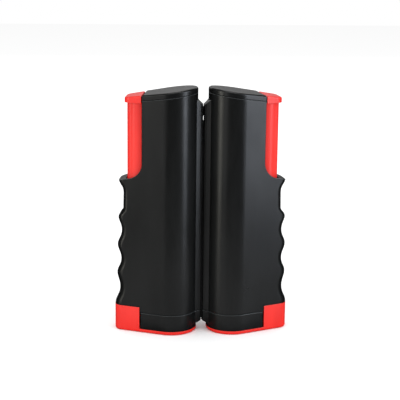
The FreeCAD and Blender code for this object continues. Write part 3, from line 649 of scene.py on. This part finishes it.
def make_net():
    """The rolled net and its rolled tape, with all that pays out between the posts."""
    net_roll, net_length = roll("wound_net", (NET_LOW, NET_HIGH), NET_WAVE, NET_CORD)
    tape_roll, _ = roll("wound_tape", (TAPE_LOW, TAPE_HIGH), TAPE_WAVE, TAPE)
    for piece, slot, node in ((net_roll, "net_mesh", "net_roll"), (tape_roll, "net_tape", "tape_roll")):
        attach(piece, "net_reel")
        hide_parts(node)
    with_pieces = [tape_roll, make_mesh_web(), make_tape(), make_seam(), make_hem(), make_end_strip()]


def make_shade_strips():
    """Thin dark strips on the left nose's slanting face: painted shade that darkens the slit between the two
    noses.
    """
    outline = [
        (SHADE_STRIP_ROOT_FRONT, SHADE_STRIP_FRONT), (SHADE_STRIP_FACE, SHADE_STRIP_FRONT), (SHADE_STRIP_FACE, SHADE_STRIP_BACK),
        (SHADE_STRIP_ROOT_BACK, SHADE_STRIP_BACK)]
    for place, heights in zip(("lower", "upper"), SHADE_STRIP_HEIGHTS):
        verts = [(x, y, z) for z in heights for x, y in outline]
        shade_strip = mesh_piece(place + "_nose_shade_strip", verts, rings(len(outline), 2), SHADE_STRIP_CLOTH, False)
        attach(shade_strip, "left_post")


# ---- studio ----
CAMERA_TURN = math.radians(-4.3)
CAMERA_ROLL = math.radians(0.66)
CAMERA_DISTANCE = 0.9332
CAMERA_HEIGHT = 0.3249
AIM = Vector((-0.0018, 0.0, 0.1077))
LENS = 107.03
SENSOR = 36.0
FLOOR_HALF = 3.0
FLOOR_DROP = 0.0002         # keeps the floor clear of the flat feet


def make_camera():
    """The main view, from in front and above, a little to the left and slightly rolled."""
    data = bpy.data.cameras.new("camera")
    data.sensor_width = SENSOR
    data.lens = LENS
    camera = bpy.data.objects.new("camera", data)
    bpy.context.scene.collection.objects.link(camera)
    camera.location = Vector((
        CAMERA_DISTANCE * math.sin(CAMERA_TURN), -CAMERA_DISTANCE * math.cos(CAMERA_TURN), CAMERA_HEIGHT))
    camera.rotation_mode = "QUATERNION"
    level = (AIM - camera.location).to_track_quat("-Z", "Y")
    camera.rotation_quaternion = level @ Quaternion((0, 0, 1), CAMERA_ROLL)
    bpy.context.scene.camera = camera


def make_floor():
    """A wide pale floor that shows the object's contact shadow."""
    mesh = bpy.data.meshes.new("floor")
    corners = [(x * FLOOR_HALF, y * FLOOR_HALF, 0) for x, y in ((-1, -1), (1, -1), (1, 1), (-1, 1))]
    mesh.from_pydata(corners, [], [(0, 1, 2, 3)])
    floor = bpy.data.objects.new("floor", mesh)
    bpy.context.scene.collection.objects.link(floor)
    floor.location.z = -FLOOR_DROP
    floor.visible_glossy = False
    material, tree = new_material("pale_floor")
    shader = add(tree, "ShaderNodeBsdfPrincipled", {
        "Base Color": linear("#F7F7F7"), "Roughness": 0.9, "Specular IOR Level": 0.0})
    finish_material(tree, shader)
    mesh.materials.append(material)


def softbox(name, place, facing, width, tall, power, colour="#FFFFFF"):
    """A soft rectangular light at a place, facing a point."""
    data = bpy.data.lights.new(name, "AREA")
    data.shape = "RECTANGLE"
    data.size = width
    data.size_y = tall
    data.energy = power
    data.color = linear(colour)[:3]
    lamp = bpy.data.objects.new(name, data)
    bpy.context.scene.collection.objects.link(lamp)
    lamp.location = place
    lamp.rotation_mode = "QUATERNION"
    lamp.rotation_quaternion = (Vector(facing) - Vector(place)).to_track_quat("-Z", "Y")
    lamp.visible_camera = False


def around(turn_deg, height, distance):
    """A place round the object: turn 0 is in front of it, 90 to its right."""
    turn = math.radians(turn_deg)
    return (distance * math.sin(turn), -distance * math.cos(turn), height)


def make_lights():
    """White surroundings and six soft lights."""
    world = bpy.data.worlds.new("studio")
    world.use_nodes = True
    back = world.node_tree.nodes["Background"]
    back.inputs["Color"].default_value = (1.0, 1.0, 1.0, 1.0)
    back.inputs["Strength"].default_value = 1.0
    world.cycles_visibility.glossy = False
    bpy.context.scene.world = world
    softbox("right_softbox", around(57, 0.5, 1.6), AIM, 0.5, 1.5, 13.5, "#EDF4FF")
    softbox("left_softbox", around(-66, 0.45, 1.6), AIM, 0.45, 1.6, 7.0, "#FFFDF2")
    softbox("fill_softbox", around(-42, 0.35, 1.6), AIM, 0.45, 1.2, 1.4)
    softbox("top_softbox", around(0, 1.8, 0.3), AIM, 1.2, 0.8, 8.0)
    softbox("back_softbox", around(180, 0.85, 1.7), AIM, 2.4, 1.0, 5.0)
    softbox("table_bounce", (0.0, -0.15, 0.001), (0.0, -0.15, 1.0), 0.5, 0.24, 0.1)


paint_nodes()
make_springs()
make_pads()
make_net()
make_shade_strips()
make_camera()
make_floor()
make_lights()
bpy.context.scene.view_settings.view_transform = "Standard"
